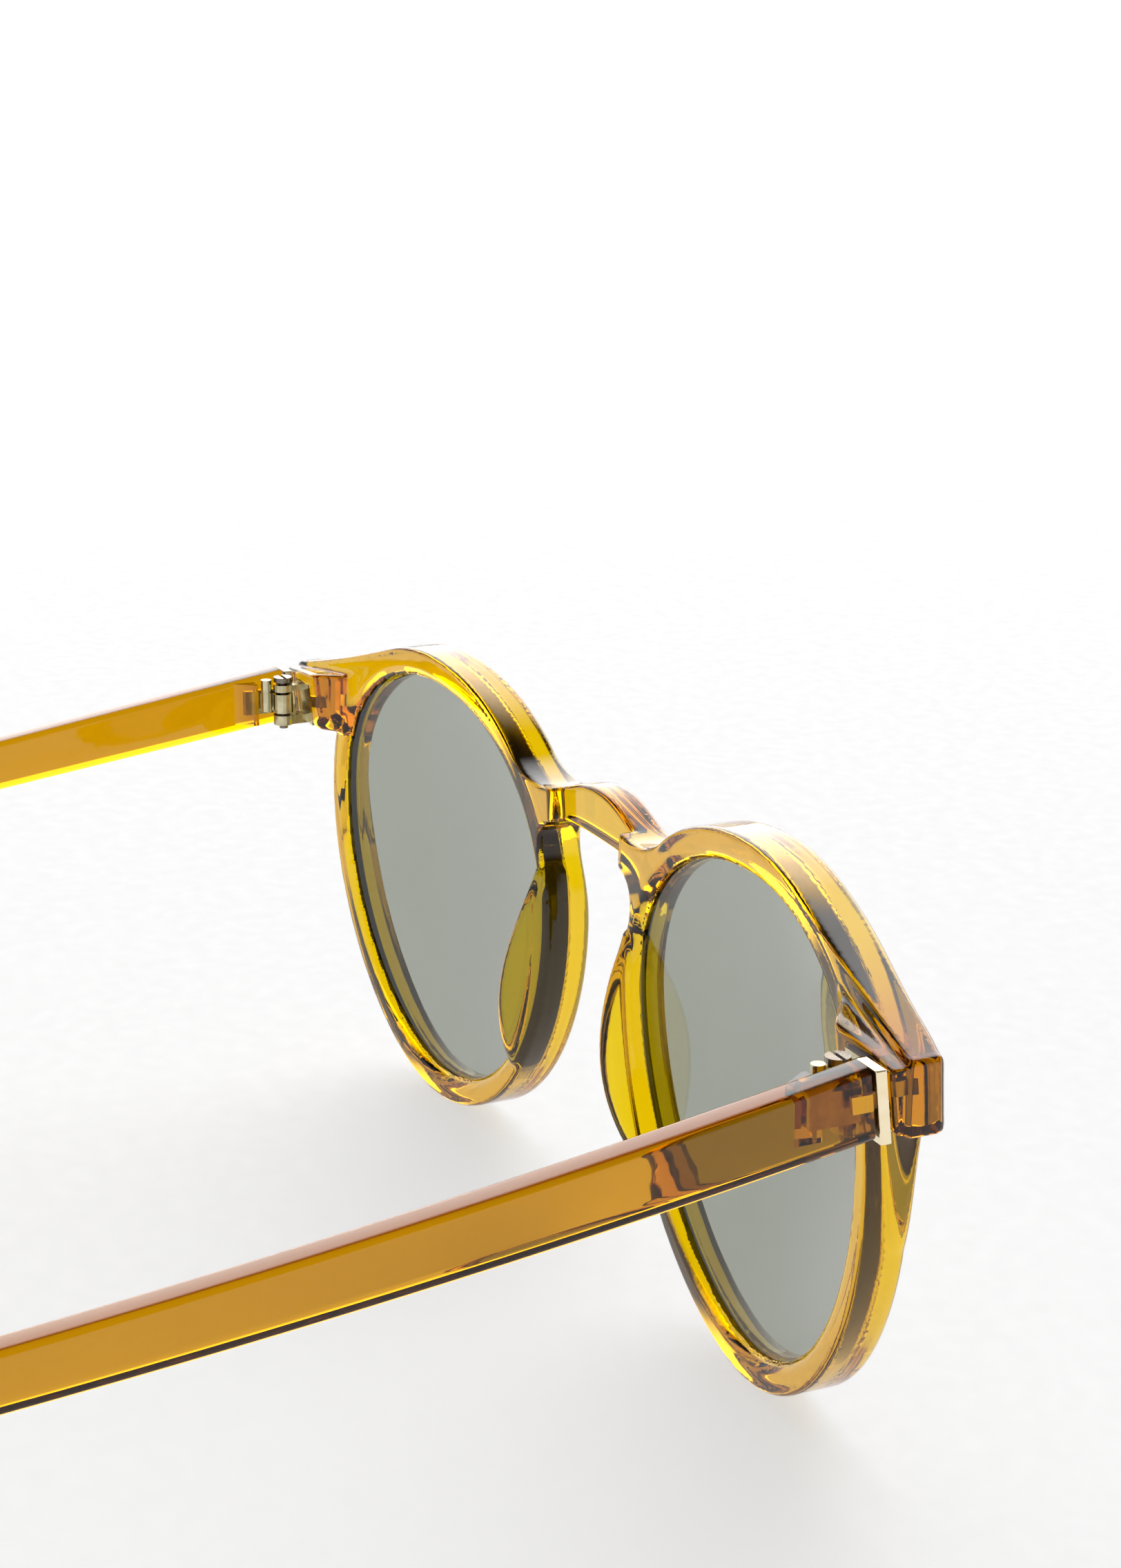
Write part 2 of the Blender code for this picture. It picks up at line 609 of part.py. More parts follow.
def make_screw(build, label, side):
    """The slotted screw down the hinge axis."""
    name = f"{label}_hinge_screw"
    low, high = HEAD_SPAN
    head = cylinder(name, side * AXIS_X, AXIS_Y, low, high, HEAD_RADIUS, 24)
    screw = build.add(name, head, build.brass)
    shank_name = f"{label}_screw_shank"
    top = (low + high) / 2
    shank = cylinder(shank_name, side * AXIS_X, AXIS_Y, SHANK_END, top, SHANK_RADIUS, 16)
    build.combine(screw, "UNION", build.helper(shank_name, shank))
    half_width, depth = HEAD_SLOT
    reach = 2 * HEAD_RADIUS
    slot_low = (AXIS_X - reach, AXIS_Y - half_width, high - depth)
    slot_high = (AXIS_X + reach, AXIS_Y + half_width, high + MM)
    slot = side_box(f"{label}_screw_slot", side, slot_low, slot_high)
    build.combine(screw, "DIFFERENCE", build.helper(slot.name, slot))


def make_hinges(build, pivots):
    for label, side in SIDES.items():
        bore_name = f"{label}_hinge_bore"
        bore = cylinder(bore_name, side * AXIS_X, AXIS_Y, *BORE_SPAN, BORE_RADIUS)
        bore_cutter = build.helper(bore_name, bore)
        leaves = (
            make_front_leaf(build, label, side),
            make_temple_leaf(build, label, side, pivots[label]),
        )
        for leaf in leaves:
            build.combine(leaf, "DIFFERENCE", bore_cutter)
        make_screw(build, label, side)


def place_on_the_floor(build):
    """Moves the design frame so that the origin is the bottom centre of the whole object."""
    bpy.context.view_layer.update()
    corners = []
    for obj in build.parts.objects:
        if obj.type == "MESH":
            corners += [obj.matrix_world @ vertex.co for vertex in obj.data.vertices]
    ys = [corner.y for corner in corners]
    build.place.location.y = -(min(ys) + max(ys)) / 2
    build.place.location.z = -min(corner.z for corner in corners)
    bpy.context.view_layer.update()


def main():
    clear_scene()
    build = Build()
    pivots = {}
    for label, side in SIDES.items():
        axis = (side * AXIS_X, AXIS_Y, TEMPLE_Z)
        pivots[label] = build.add_empty(f"{label}_fold_axis", axis, build.place)
    make_front(build)
    make_lenses(build)
    make_nose_pads(build)
    make_temples(build, pivots)
    make_trim_plates(build, pivots)
    make_hinges(build, pivots)
    place_on_the_floor(build)


main()
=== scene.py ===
"""Looks of the round amber sunglasses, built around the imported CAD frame.

Shapes are laid out in the design frame of the part: X across the face from the middle of the
bridge, Y backwards from the foremost plane of the front, Z from the middle of the lenses.
place() moves a design-frame mesh into the row frame. side is -1 for the wearer's right and +1
for the wearer's left.
"""

import json
import math

import bmesh
import bpy
import numpy as np
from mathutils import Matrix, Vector


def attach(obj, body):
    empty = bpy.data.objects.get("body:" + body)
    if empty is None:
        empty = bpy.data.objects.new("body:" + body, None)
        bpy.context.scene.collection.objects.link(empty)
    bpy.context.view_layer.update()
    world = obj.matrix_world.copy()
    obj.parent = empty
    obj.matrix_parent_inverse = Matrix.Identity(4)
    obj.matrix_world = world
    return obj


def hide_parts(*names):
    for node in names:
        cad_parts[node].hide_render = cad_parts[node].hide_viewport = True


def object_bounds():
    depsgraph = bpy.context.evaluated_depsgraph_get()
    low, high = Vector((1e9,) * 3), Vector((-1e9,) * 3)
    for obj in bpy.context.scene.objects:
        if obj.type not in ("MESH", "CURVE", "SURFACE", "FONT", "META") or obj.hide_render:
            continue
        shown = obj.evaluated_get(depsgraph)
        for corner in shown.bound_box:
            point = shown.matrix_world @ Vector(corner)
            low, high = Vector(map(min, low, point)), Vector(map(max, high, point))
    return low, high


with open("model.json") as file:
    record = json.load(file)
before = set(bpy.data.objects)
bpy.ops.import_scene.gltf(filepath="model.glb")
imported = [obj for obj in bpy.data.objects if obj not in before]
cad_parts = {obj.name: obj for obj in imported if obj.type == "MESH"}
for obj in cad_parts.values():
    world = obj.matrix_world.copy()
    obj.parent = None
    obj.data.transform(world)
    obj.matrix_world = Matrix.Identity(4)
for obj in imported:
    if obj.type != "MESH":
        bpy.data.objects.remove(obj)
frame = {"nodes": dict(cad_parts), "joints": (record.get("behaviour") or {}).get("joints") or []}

CAD_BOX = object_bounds()
MM = 0.001
SIDES = {"right": -1, "left": 1}

# Lens opening, measured to the inner edge of the rim's back face
LENS_CENTRE_X = 35.8 * MM
TEMPORAL_HALF, NASAL_HALF = 24.2 * MM, 25.5 * MM
UPPER_HALF, LOWER_HALF = 19.8 * MM, 26.4 * MM
UPPER_POWER, LOWER_POWER = 2.13, 1.93
LENS_TILT = math.radians(4.8)
TOP_WIDENING = 1.35

# Front
FRONT_THICKNESS = 5.0 * MM
FRONT_CURVE = 0.934
END_SWEEP, END_SWEEP_SPAN = 1.4 * MM, (49 * MM, 67 * MM)
TIP_SWEEP, TIP_SWEEP_SPAN = 0.3 * MM, (66 * MM, 70 * MM)
REAR_ROUND, FRONT_ROUND, END_ROUND = 0.45 * MM, 0.85 * MM, 1.2 * MM
END_ROUND_SPAN = (64 * MM, 69 * MM)
SKIN = 0.02 * MM  # how far the moulded surface stays inside the CAD solid's
BROW_AIM = (52.9 * MM, 17.9 * MM)
RIM_TEMPORAL, RIM_BOTTOM, RIM_NASAL = 2.0 * MM, 1.9 * MM, 1.75 * MM
LIP_FRONT, LIP_REAR = 0.9 * MM, 1.05 * MM
REAR_OUTLINE_SPAN = (0.5 * MM, 3.5 * MM)
FLARE_START, FLARE_END = 4.1 * MM, 5.4 * MM
GROOVE = (1.8 * MM, 4.05 * MM)
GROOVE_OFFSET = -0.25 * MM

# Lenses
LENS_MIDDLE_Z = -3 * MM
LENS_TURNS = 180
LENS_CHAMFER = 0.15 * MM
LENS_EDGE = -0.3 * MM
LENS_FRONT_Y = 2.0 * MM
LENS_THICKNESS = 2.0 * MM
LENS_BULGE = 1.9 * MM
LENS_RINGS = 30
EDGE_LOOPS = (LENS_RINGS - 1, LENS_RINGS, LENS_RINGS + 1, LENS_RINGS + 2)
LENS_SWEEP, LENS_SWEEP_SPAN = 0.3 * MM, (40 * MM, 62 * MM)

# Bridge
BRIDGE_TOP = 16.4 * MM
BRIDGE_VALLEY = (10.5 * MM, 14.3 * MM)
KEYHOLE_TOP = 11.4 * MM
KEYHOLE_HALF = 10.6 * MM
KEYHOLE_SHOULDER = 8.0 * MM
SADDLE_HALF = 7.4 * MM
SADDLE_DEPTH = 1.5 * MM

# End pieces
END_X = 69.9 * MM
END_TOP, END_BOTTOM = 14.3 * MM, 8.0 * MM
END_REAR_Y = 10.9 * MM
END_STEP_X = 66.0 * MM
CORNER = 0.8 * MM
BLOCK_FRONT_Y, BLOCK_DROP, BLOCK_EDGE = 6.4 * MM, 0.6 * MM, 0.6 * MM
BLOCK_SLOPE = math.atan2(1.1, 9.4)
FACET_LEAN = math.atan2(2.6, 3.5)
FACET_X, FACET_Y = 57 * MM, 8.0 * MM
HINGE_LEAN = math.tan(math.radians(6))

# Hinge axis in the design frame
AXIS_Y = 13.2 * MM
TEMPLE_Z = 11.1 * MM

# Temples
TEMPLE_FRONT_Y = 12.5 * MM
TEMPLE_OUTER_X = 69.58 * MM
TEMPLE_THICKNESS = 2.9 * MM
TEMPLE_SPLAY, TEMPLE_BOW = 0.045, 0.83
TEMPLE_DROP, TEMPLE_RISE = 0.150, 0.144
TEMPLE_HEIGHT, NECK_HEIGHT, TIP_HEIGHT = 6.1 * MM, 4.5 * MM, 6.4 * MM
BEND_START, BEND_RADIUS = 92 * MM, 55 * MM
EAR_PITCH = math.radians(42)
TEMPLE_ROUND = 0.7 * MM
BOSS_PLAN = ((67.3, 19.0), (65.4, 16.5), (65.4, 16.1), (67.3, 16.1))  # x and y in millimetres
BOSS_SPAN = (8.2 * MM, 13 * MM)

# Nose pads, which grow out of the rims' rear faces
PAD_TOP_ANGLE, PAD_BOTTOM_ANGLE = 162.5, 217.5
PAD_DEPTH, PAD_FLARE = 3.9 * MM, (2.0 * MM, 0.1 * MM)
PAD_ROOT, PAD_SUNK, PAD_SETBACK = 0.4 * MM, 1.6 * MM, 0.4 * MM
PAD_RADII = (0.95 * MM, 0.6 * MM)
PAD_END_RISE = 30 * MM  # added distance per pad length past the pad's ends

# How softly the front's shapes run into each other
BLOCK_BLEND, FACET_BLEND, LIP_BLEND = 0.8 * MM, 0.5 * MM, 0.5 * MM
SADDLE_BLEND, PAD_BLEND = 0.6 * MM, 1.0 * MM

# Meshing of the front
FIELD_STEP = 0.15 * MM
VOXEL = 0.27 * MM

# Plastics: the tint of each pass through the surface, and the red, green and blue lost per mm
FRONT_TINT, FRONT_LOSS = (1.0, 0.77, 0.42), (0.035, 0.09, 2.5)
TEMPLE_TINT, TEMPLE_LOSS = (1.0, 0.69, 0.36), (0.14, 0.265, 2.5)
LENS_LOSS = (0.455, 0.43, 0.49)

# Studio: a wide lamp behind the glasses and a pale backdrop all round, just above the floor.
# Each row is the range of the measured value and the strengths at its two ends.
LAMP_AIM = (0.84, -0.40, 0.37)
LAMP = (0.65, 0.97, 0.04, 3.2)
BACKDROP = (0.12, 0.34, 0.85, 0.0)
FLOOR_RADIUS = 8
FLOOR_GAP = 0.05 * MM

# Camera
CAMERA_PLACE = (-0.25214, 0.04559, 0.12595)
CAMERA_HEADING, CAMERA_DROP = math.radians(-24.12), math.radians(16.19)
SENSOR, FOCAL_LENGTH = 36, 68.555

axis_point = Vector(frame["joints"][0]["pos_m"])
ORIGIN = Vector((0, axis_point.y - AXIS_Y, axis_point.z - TEMPLE_Z))


# ---------------------------------------------------------------- outlines


def signed_power(value, power):
    return math.copysign(abs(value) ** power, value)


def opening_point(angle, offset=0.0):
    """A point (x, z) of the left lens opening.

    It is moved outwards by offset, which is a length or a function of the normal.
    """

    def raw(turn):
        cosine, sine = math.cos(turn), math.sin(turn)
        power = 2 / (UPPER_POWER if sine > 0 else LOWER_POWER)
        x = (TEMPORAL_HALF if cosine > 0 else NASAL_HALF) * signed_power(cosine, power)
        z = (UPPER_HALF if sine > 0 else LOWER_HALF) * signed_power(sine, power)
        return Vector((x * (1 + TOP_WIDENING * z), z))

    turn = math.radians(angle) + 1e-4
    point = raw(turn)
    along = (raw(turn + 0.01) - raw(turn - 0.01)).normalized()
    normal = Vector((along.y, -along.x))
    point += normal * (offset(normal) if callable(offset) else offset)
    cosine, sine = math.cos(LENS_TILT), math.sin(LENS_TILT)
    return LENS_CENTRE_X + point.x * cosine - point.y * sine, point.x * sine + point.y * cosine


def rim_width(normal):
    """The rim's width, which is thinner at the bottom and at the nose."""
    low = max(-normal.y, 0) ** 2
    nasal = max(-normal.x, 0) ** 2
    return RIM_TEMPORAL + (RIM_BOTTOM - RIM_TEMPORAL) * low + (RIM_NASAL - RIM_TEMPORAL) * nasal


def bezier(start, start_handle, end_handle, end, count):
    """Points of a cubic curve, without its start."""
    points = []
    for i in range(1, count + 1):
        t = i / count
        weights = ((1 - t) ** 3, 3 * t * (1 - t) ** 2, 3 * t * t * (1 - t), t**3)
        corners = (start, start_handle, end_handle, end)
        points.append(tuple(sum(w * c[k] for w, c in zip(weights, corners)) for k in (0, 1)))
    return points


def rounded_corner(before, corner, after, count=6):
    """A round corner between two points that lie on its two sides."""
    return bezier(before, corner, corner, after, count)


def front_outline(flared):
    """The outer outline of the front's left half, closed along the plane of symmetry.

    The rim flares out to meet the end piece's underside, on the front face only.
    """
    top_join, tangent, step, nasal_join = 128, 62, -18 if flared else 16, -184
    rim = [opening_point(a, rim_width) for a in np.arange(top_join, tangent - 0.5, -1)]
    under = [opening_point(a, rim_width) for a in np.arange(step, nasal_join - 0.5, -1)]
    valley_x, valley_z = BRIDGE_VALLEY
    half = [(0, BRIDGE_TOP)]
    half += bezier(half[0], (5 * MM, BRIDGE_TOP), (7 * MM, valley_z), BRIDGE_VALLEY, 24)
    half += bezier(BRIDGE_VALLEY, (13 * MM, valley_z), (15.5 * MM, rim[0][1] - MM), rim[0], 16)
    half += rim[1:]
    end = Vector((END_X - CORNER, END_TOP + 0.1 * CORNER))
    start, along = Vector(rim[-1]), (Vector(rim[-1]) - Vector(rim[-2])).normalized()
    brow, reach = (end - Vector(BROW_AIM)).normalized(), (end - start).length / 3
    half += bezier(start[:], (start + along * reach)[:], (end - brow * reach)[:], end[:], 24)
    half += rounded_corner(half[-1], (END_X, END_TOP), (END_X, END_TOP - CORNER))
    half += [(END_X, END_BOTTOM + CORNER)]
    half += rounded_corner(half[-1], (END_X, END_BOTTOM), (END_X - CORNER, END_BOTTOM))
    if flared:
        half += [(END_STEP_X + CORNER, END_BOTTOM)]
        half += rounded_corner(
            half[-1], (END_STEP_X, END_BOTTOM), (END_STEP_X, END_BOTTOM - CORNER)
        )
        half += bezier(half[-1], (65 * MM, 4 * MM), (63.2 * MM, -2 * MM), under[0], 24)
    else:
        half += rounded_corner((under[0][0] + MM, END_BOTTOM), (under[0][0], END_BOTTOM), under[0])
    half += under[1:]
    shoulder = (KEYHOLE_HALF, KEYHOLE_SHOULDER)
    half += bezier(half[-1], (8.4 * MM, 4 * MM), (KEYHOLE_HALF, 5.5 * MM), shoulder, 20)
    half += bezier(
        shoulder, (KEYHOLE_HALF, KEYHOLE_TOP), (7 * MM, KEYHOLE_TOP), (0, KEYHOLE_TOP), 28
    )
    return half


# ---------------------------------------------------------------- distance fields


def smooth_min(a, b, blend):
    near = np.maximum(blend - np.abs(a - b), 0) / blend
    return np.minimum(a, b) - near * near * blend / 4


def smooth_max(a, b, blend):
    return -smooth_min(-a, -b, blend)


def smooth_step(low, high, value):
    t = np.clip((value - low) / (high - low), 0, 1)
    return t * t * (3 - 2 * t)


class PlanField:
    """The signed distance to an outline in the XZ plane, negative inside, read from a fine grid."""

    def __init__(self, outline):
        margin = 4 * MM
        self.low = np.array((-margin, -32 * MM))
        count = ((np.array((END_X + margin, 26 * MM)) - self.low) / FIELD_STEP).astype(int)
        x = self.low[0] + FIELD_STEP * np.arange(count[0])
        z = self.low[1] + FIELD_STEP * np.arange(count[1])
        x, z = np.meshgrid(x, z, indexing="ij")
        nearest, inside = np.full(x.shape, np.inf), np.zeros(x.shape, bool)
        for (ax, az), (bx, bz) in zip(outline, outline[1:] + outline[:1]):
            run_x, run_z = bx - ax, bz - az
            length = run_x**2 + run_z**2
            if length < 1e-16:
                continue
            t = np.clip(((x - ax) * run_x + (z - az) * run_z) / length, 0, 1)
            nearest = np.minimum(nearest, (x - ax - t * run_x) ** 2 + (z - az - t * run_z) ** 2)
            if run_z:
                inside ^= ((az > z) != (bz > z)) & (x < ax + (z - az) * run_x / run_z)
        self.values = np.where(inside, -1, 1) * np.sqrt(nearest)

    def read(self, x, z):
        """Distances at points, by bilinear interpolation. The left half stands for both halves."""
        u = (np.abs(x) - self.low[0]) / FIELD_STEP
        w = (z - self.low[1]) / FIELD_STEP
        i = np.clip(u.astype(int), 0, self.values.shape[0] - 2)
        j = np.clip(w.astype(int), 0, self.values.shape[1] - 2)
        u, w = u - i, w - j
        v = self.values
        near = v[i, j] * (1 - w) + v[i, j + 1] * w
        far = v[i + 1, j] * (1 - w) + v[i + 1, j + 1] * w
        return near * (1 - u) + far * u


def mirrored_outline(half):
    return half + [(-x, z) for x, z in reversed(half[1:-1])]


OUTER = PlanField(mirrored_outline(front_outline(True)))
OUTER_REAR = PlanField(mirrored_outline(front_outline(False)))
OPENING = PlanField([opening_point(a) for a in np.arange(0, 360, 0.5)])


def front_sweep(ax, z):
    """How far the front face lies behind its plain curve, towards the end pieces."""
    share = 0.35 + 0.65 * smooth_step(-8 * MM, 6 * MM, z)
    sweep = END_SWEEP * share * smooth_step(*END_SWEEP_SPAN, ax)
    return sweep + TIP_SWEEP * smooth_step(*TIP_SWEEP_SPAN, ax)


def lens_sweep(ax):
    return LENS_SWEEP * smooth_step(*LENS_SWEEP_SPAN, ax)


def rounded_slab(plan, y, y_front, y_rear, edge):
    """An outline extruded from y_front to y_rear, with its edges rounded."""
    middle, half = (y_front + y_rear) / 2, (y_rear - y_front) / 2
    a, b = plan + edge, np.abs(y - middle) - half + edge
    outside = np.hypot(np.maximum(a, 0), np.maximum(b, 0))
    return np.minimum(np.maximum(a, b), 0) + outside - edge


def end_block(x, y, z):
    """The thicker end that carries the hinge leaf, with a slanted facet on its inner side."""
    ax = np.abs(x)
    top = (z - (END_TOP - BLOCK_DROP)) * math.cos(BLOCK_SLOPE)
    top = top + (ax - END_X) * math.sin(BLOCK_SLOPE)
    plan = np.maximum(np.maximum(ax - END_X + 0.15 * MM, END_BOTTOM + 0.2 * MM - z), top)
    slab = rounded_slab(plan, y, BLOCK_FRONT_Y, END_REAR_Y, BLOCK_EDGE)
    facet = (y - FACET_Y) * math.cos(FACET_LEAN) - (ax - FACET_X) * math.sin(FACET_LEAN)
    return smooth_max(slab, facet, FACET_BLEND)


def pad_part(x, z):
    """Where a point lies along the nose pad, from 0 at its top to 1 at its bottom."""
    turn = np.degrees(np.arctan2(z - LENS_MIDDLE_Z, np.abs(x) - LENS_CENTRE_X)) % 360
    return (turn - PAD_TOP_ANGLE) / (PAD_BOTTOM_ANGLE - PAD_TOP_ANGLE)


def nose_pads(part, depth, opening):
    """Leaves behind the rims beside the nose, leaning away from the nose, tapered in section."""
    inside = np.clip(part, 0, 1)
    reach = np.sin(np.pi * inside) ** 0.85
    flare = PAD_FLARE[0] + (PAD_FLARE[1] - PAD_FLARE[0]) * inside
    tip_out = -flare * reach
    tip_back = PAD_SUNK + (PAD_DEPTH - PAD_RADII[1]) * reach - PAD_SETBACK
    out, back = opening - PAD_ROOT, depth + PAD_SUNK
    length = tip_out**2 + tip_back**2
    t = np.clip((out * tip_out + back * tip_back) / length, 0, 1)
    distance = np.hypot(out - t * tip_out, back - t * tip_back)
    radius = PAD_RADII[0] + (PAD_RADII[1] - PAD_RADII[0]) * t
    return distance - radius + np.abs(part - inside) * PAD_END_RISE


def front_distance(x, y, z):
    """The signed distance to the whole front with its nose pads, negative inside the plastic."""
    ax = np.abs(x)
    depth = y - FRONT_CURVE * x * x
    sweep = front_sweep(ax, z)
    slab_depth = (depth - sweep) / (1 - sweep / FRONT_THICKNESS)
    rearward = smooth_step(*REAR_OUTLINE_SPAN, slab_depth)
    outer, opening = OUTER.read(x, z), OPENING.read(x, z)
    outer = outer + (OUTER_REAR.read(x, z) - outer) * rearward
    front_edge = FRONT_ROUND + (END_ROUND - FRONT_ROUND) * smooth_step(*END_ROUND_SPAN, ax)
    edge = np.where(slab_depth < FRONT_THICKNESS / 2, front_edge, REAR_ROUND)
    solid = rounded_slab(outer + SKIN, slab_depth, SKIN, FRONT_THICKNESS, edge)
    block_y = y - (z - TEMPLE_Z) * HINGE_LEAN
    solid = smooth_min(solid, end_block(x, block_y, z), BLOCK_BLEND)
    part = pad_part(x, z)
    beside_pad = smooth_step(0.0, 0.15, part) * smooth_step(1.0, 0.85, part)
    flare = smooth_step(FLARE_START, FLARE_END, depth) * (1 - beside_pad)
    lens_depth = depth - lens_sweep(ax)
    lip = np.where(lens_depth < GROOVE[0], LIP_FRONT, LIP_REAR * (1 - flare))
    solid = smooth_max(solid, -(opening + lip), LIP_BLEND)
    groove = np.maximum(GROOVE[0] - lens_depth, lens_depth - GROOVE[1])
    solid = np.maximum(solid, -np.maximum(opening - GROOVE_OFFSET, groove))
    saddle = np.maximum(ax - SADDLE_HALF - 0.07 * (z - 6 * MM), 6 * MM - z)
    saddle = np.maximum(saddle, FRONT_THICKNESS - SADDLE_DEPTH - y)
    solid = smooth_max(solid, -saddle, SADDLE_BLEND)
    pads = nose_pads(part, depth - FRONT_THICKNESS, opening)
    return smooth_min(solid, pads, PAD_BLEND)


# ---------------------------------------------------------------- meshing


def surface_net(values, low, step):
    """A quad mesh of a grid's zero surface, with one vertex in each cell that it crosses."""
    inside = values < 0
    shape = np.array(values.shape) - 1
    corner_slices = [
        tuple(slice(c, c + n) for c, n in zip(corner, shape)) for corner in np.ndindex(2, 2, 2)
    ]
    count = sum(inside[s].astype(int) for s in corner_slices)
    cells = np.argwhere((count > 0) & (count < 8))
    total, crossings = np.zeros((len(cells), 3)), np.zeros(len(cells))
    for axis in range(3):
        ahead = np.eye(3, dtype=int)[axis]
        for corner in np.ndindex(2, 2, 2):
            if corner[axis]:
                continue
            start = cells + corner
            a, b = values[tuple(start.T)], values[tuple((start + ahead).T)]
            crossed = (a < 0) != (b < 0)
            t = np.where(crossed, a / np.where(crossed, a - b, 1), 0)
            total += crossed[:, None] * (np.array(corner) + t[:, None] * ahead)
            crossings += crossed
    points = low + step * (cells + total / crossings[:, None])
    index = np.full(shape, -1)
    index[tuple(cells.T)] = np.arange(len(cells))
    quads = []
    for axis in range(3):
        ahead = np.eye(3, dtype=int)[axis]
        one, two = np.eye(3, dtype=int)[(axis + 1) % 3], np.eye(3, dtype=int)[(axis + 2) % 3]
        first = tuple(slice(0, n + 1 - a) for n, a in zip(shape, ahead))
        second = tuple(slice(a, n + 1) for n, a in zip(shape, ahead))
        edges = np.argwhere(inside[first] != inside[second])
        outward = inside[tuple(edges.T)]
        ring = [index[tuple((edges - d).T)] for d in (0 * one, one, one + two, two)]
        quad = np.stack(ring, axis=1)
        quads.append(np.where(outward[:, None], quad, quad[:, ::-1]))
    return points, np.concatenate(quads)


def gradient(distance, points, reach):
    columns = []
    for axis in range(3):
        shift = reach * np.eye(3)[axis]
        ahead, behind = (points + shift).T, (points - shift).T
        columns.append((distance(*ahead) - distance(*behind)) / (2 * reach))
    return np.stack(columns, axis=1)


def mesh_of_distance(name, distance, low, high, step):
    """A smooth mesh of a distance function's zero surface inside a box."""
    axes = [np.arange(a, b + step, step) for a, b in zip(low, high)]
    grid = np.meshgrid(*axes, indexing="ij")
    values = distance(*grid)
    points, quads = surface_net(values, np.array(low), step)
    for _ in range(3):
        slope = gradient(distance, points, 0.02 * MM)
        steep = np.maximum((slope**2).sum(1), 0.3)
        push = -distance(*points.T) / steep
        points = points + np.clip(push, -step / 3, step / 3)[:, None] * slope
    mesh = bpy.data.meshes.new(name)
    mesh.from_pydata(points.tolist(), [], quads.tolist())
    mesh.validate()
    return mesh


def place(mesh):
    """Moves a mesh from the design frame to the row frame and shades it smooth."""
    for vertex in mesh.vertices:
        vertex.co += ORIGIN
    mesh.update()
    mesh.shade_smooth()
    return mesh


def add_piece(name, mesh, body, material, slot, *nodes):
    """Adds a piece that rides on a CAD body and stands for CAD nodes."""
    obj = bpy.data.objects.new(name, place(mesh))
    bpy.context.scene.collection.objects.link(obj)
    mesh.materials.append(material)
    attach(obj, body)
    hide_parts(*nodes)
    return obj


# ---------------------------------------------------------------- materials


class Nodes:
    """A short way to build a material's node tree."""

    def __init__(self, name):
        self.material = bpy.data.materials.new(name)
        self.material.use_nodes = True
        self.tree = self.material.node_tree
        self.shader = self.tree.nodes["Principled BSDF"]
        self.output = self.tree.nodes["Material Output"]
        self.coordinates = self.add("ShaderNodeTexCoord").outputs["Object"]

    def add(self, kind, inputs=None, **settings):
        node = self.tree.nodes.new(kind)
        for key, value in settings.items():
            setattr(node, key, value)
        for key, value in (inputs or {}).items():
            if isinstance(value, bpy.types.NodeSocket):
                self.tree.links.new(value, node.inputs[key])
            else:
                node.inputs[key].default_value = value
        return node

    def set(self, **values):
        for key, value in values.items():
            socket = self.shader.inputs[key.replace("_", " ")]
            if isinstance(value, bpy.types.NodeSocket):
                self.tree.links.new(value, socket)
            else:
                socket.default_value = value

    def noise(self, scale, detail=2.0, stretch=(1, 1, 1), roughness=0.5):
        mapping = self.add("ShaderNodeMapping", {"Vector": self.coordinates, "Scale": stretch})
        inputs = {"Vector": mapping.outputs["Vector"], "Scale": scale}
        inputs |= {"Detail": detail, "Roughness": roughness}
        return self.add("ShaderNodeTexNoise", inputs).outputs["Fac"]

    def range(self, value, low, high, start=0.3, end=0.7):
        inputs = {"Value": value, "From Min": start, "From Max": end, "To Min": low, "To Max": high}
        return self.add("ShaderNodeMapRange", inputs).outputs["Result"]

    def mix(self, factor, a, b):
        node = self.add("ShaderNodeMix", data_type="RGBA")
        for index, value in ((0, factor), (6, a), (7, b)):
            if isinstance(value, bpy.types.NodeSocket):
                self.tree.links.new(value, node.inputs[index])
            else:
                node.inputs[index].default_value = value
        return node.outputs[2]

    def bump(self, height, distance, strength=1.0):
        inputs = {"Height": height, "Distance": distance, "Strength": strength}
        return self.add("ShaderNodeBump", inputs).outputs["Normal"]

    def absorb(self, per_millimetre):
        """Absorbs red, green and blue light inside the material."""
        most = max(per_millimetre)
        inputs = {"Color": (*(1 - a / most for a in per_millimetre), 1), "Density": most / MM}
        volume = self.add("ShaderNodeVolumeAbsorption", inputs)
        self.tree.links.new(volume.outputs["Volume"], self.output.inputs["Volume"])


def amber_plastic(name, tint, loss):
    """Clear honey-coloured plastic, with the faint waves of a polished moulding and fine scuffs."""
    nodes = Nodes(name)
    cloud = nodes.noise(90, 3)
    waves = nodes.noise(220, 2)
    scuffs = nodes.noise(2600, 2, (1, 0.12, 1))
    nodes.set(
        Base_Color=nodes.mix(nodes.range(cloud, 0, 1), (*tint, 1), (*(0.95 * t for t in tint), 1)),
        Roughness=nodes.range(scuffs, 0.01, 0.04),
        Normal=nodes.bump(waves, 0.03 * MM),
        IOR=1.49,
        Transmission_Weight=1.0,
    )
    nodes.absorb(loss)
    return nodes.material


def painted_shade_lens_edge():
    """The lens's edge band inside its groove, painted near-black as painted shade, with a faint
    grain.
    """
    nodes = Nodes("lens_edge_painted_shade")
    grain = nodes.noise(3000, 3)
    nodes.set(
        Base_Color=nodes.mix(
            nodes.range(grain, 0, 1), (0.020, 0.022, 0.020, 1), (0.045, 0.046, 0.040, 1)
        ),
        Roughness=nodes.range(grain, 0.35, 0.6),
        Normal=nodes.bump(grain, 0.01 * MM),
        IOR=1.5,
    )
    return nodes.material


